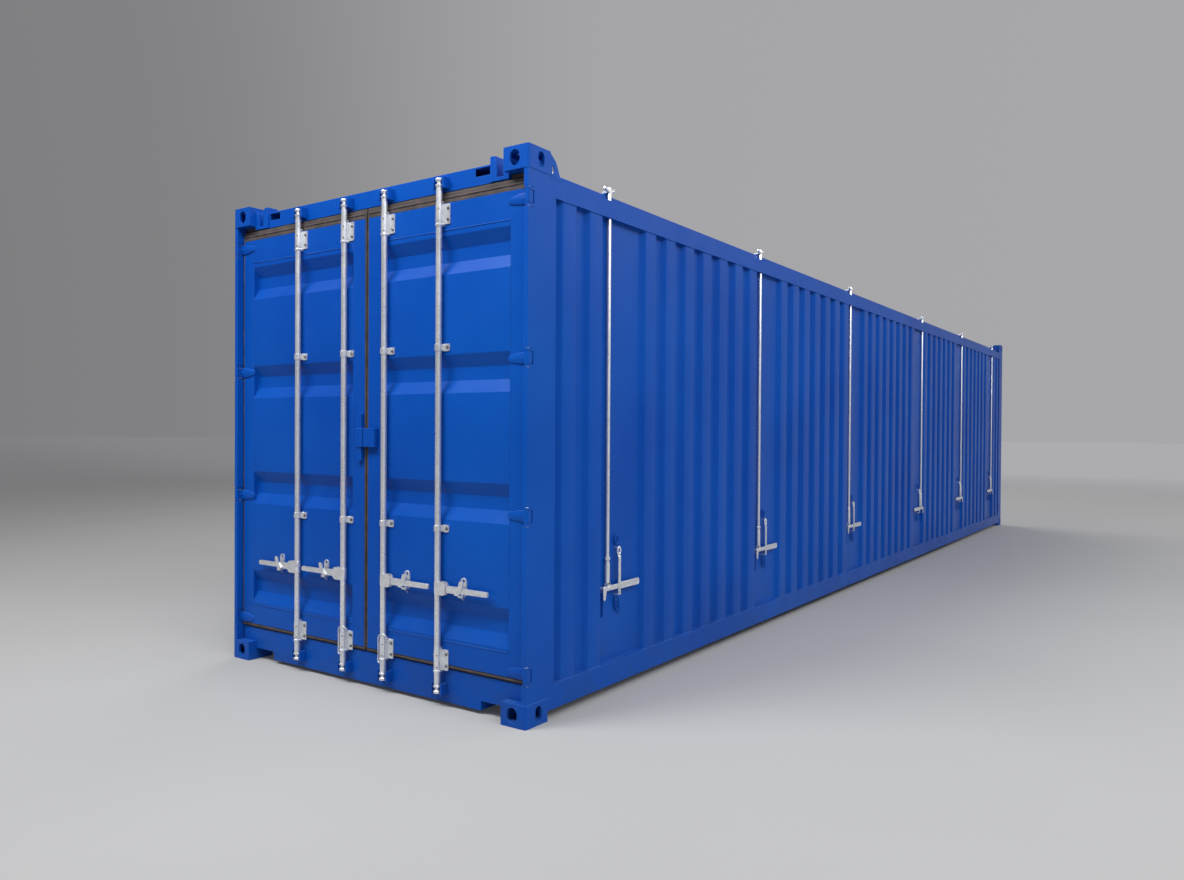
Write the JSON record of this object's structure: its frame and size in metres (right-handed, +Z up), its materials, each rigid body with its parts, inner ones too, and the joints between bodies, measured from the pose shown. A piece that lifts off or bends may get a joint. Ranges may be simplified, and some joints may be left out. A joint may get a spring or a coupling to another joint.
{
  "type": "shipping container",
  "caption": "Steel high-cube shipping container with corrugated walls, hinged rear doors with turning lock bars, and a lift-off roof held by side rods.",
  "frame": {"origin": "centre of the footprint, on the ground under the bottom castings", "axes": "+Z up, Y along the length with the doors at -Y, X across"},
  "size_m": [2.438, 12.192, 2.896],
  "materials": {
    "blue_paint": "satin",
    "galvanised_steel": "satin",
    "rubber": "matte",
    "plywood": "matte"
  },
  "bodies": {
    "container": {"bottom_castings": "blue_paint", "top_castings": "blue_paint", "rear_posts": "blue_paint", "post_hinges": "blue_paint", "front_posts": "blue_paint", "casting_gussets": "blue_paint", "rear_sill": "blue_paint", "front_sill": "blue_paint", "rear_header": "blue_paint", "header_fittings": "blue_paint", "front_header": "blue_paint", "bottom_side_rails": "blue_paint", "top_side_rails": "blue_paint", "right_side_wall": "blue_paint", "left_side_wall": "blue_paint", "front_wall": "blue_paint", "cross_members": "blue_paint", "roof_panels": "blue_paint", "roof_cleats": "blue_paint", "cam_keepers": "blue_paint", "corner_seals": "rubber", "floor": "plywood", "roof_seal": "rubber", "roof_lock_rods": "galvanised_steel", "roof_lock_levers": "galvanised_steel", "lever_straps": "galvanised_steel"},
    "left_door": {"left_door_frame": "blue_paint", "left_door_panel": "blue_paint", "left_door_seal": "rubber", "left_hinge_blades": "blue_paint", "left_bar_guides": "galvanised_steel", "left_handle_catches": "galvanised_steel", "left_centre_box": "blue_paint"},
    "left_outer_bar": {"left_outer_lock_bar": "galvanised_steel", "left_outer_handle": "galvanised_steel"},
    "left_inner_bar": {"left_inner_lock_bar": "galvanised_steel", "left_inner_handle": "galvanised_steel"},
    "right_door": {"right_door_frame": "blue_paint", "right_door_panel": "blue_paint", "right_door_seal": "rubber", "right_hinge_blades": "blue_paint", "right_bar_guides": "galvanised_steel", "right_handle_catches": "galvanised_steel", "right_centre_box": "blue_paint"},
    "right_outer_bar": {"right_outer_lock_bar": "galvanised_steel", "right_outer_handle": "galvanised_steel"},
    "right_inner_bar": {"right_inner_lock_bar": "galvanised_steel", "right_inner_handle": "galvanised_steel"}
  },
  "joints": [
    {"name": "left_door_hinge", "type": "hinge", "parent": "container", "child": "left_door", "pos_m": [-1.205, -6.082, 1.45], "axis": [0, 0, -1], "range_deg": [0, 264]},
    {"name": "left_outer_bar_turn", "type": "hinge", "parent": "left_door", "child": "left_outer_bar", "pos_m": [-0.59304, -6.074, 1.45], "axis": [0, 0, -1], "range_deg": [-110, 0]},
    {"name": "left_inner_bar_turn", "type": "hinge", "parent": "left_door", "child": "left_inner_bar", "pos_m": [-0.17005, -6.074, 1.45], "axis": [0, 0, -1], "range_deg": [-110, 0]},
    {"name": "right_door_hinge", "type": "hinge", "parent": "container", "child": "right_door", "pos_m": [1.205, -6.082, 1.45], "axis": [0, 0, 1], "range_deg": [0, 264]},
    {"name": "right_outer_bar_turn", "type": "hinge", "parent": "right_door", "child": "right_outer_bar", "pos_m": [0.59304, -6.074, 1.45], "axis": [0, 0, 1], "range_deg": [-110, 0]},
    {"name": "right_inner_bar_turn", "type": "hinge", "parent": "right_door", "child": "right_inner_bar", "pos_m": [0.17005, -6.074, 1.45], "axis": [0, 0, 1], "range_deg": [-110, 0]}
  ]
}
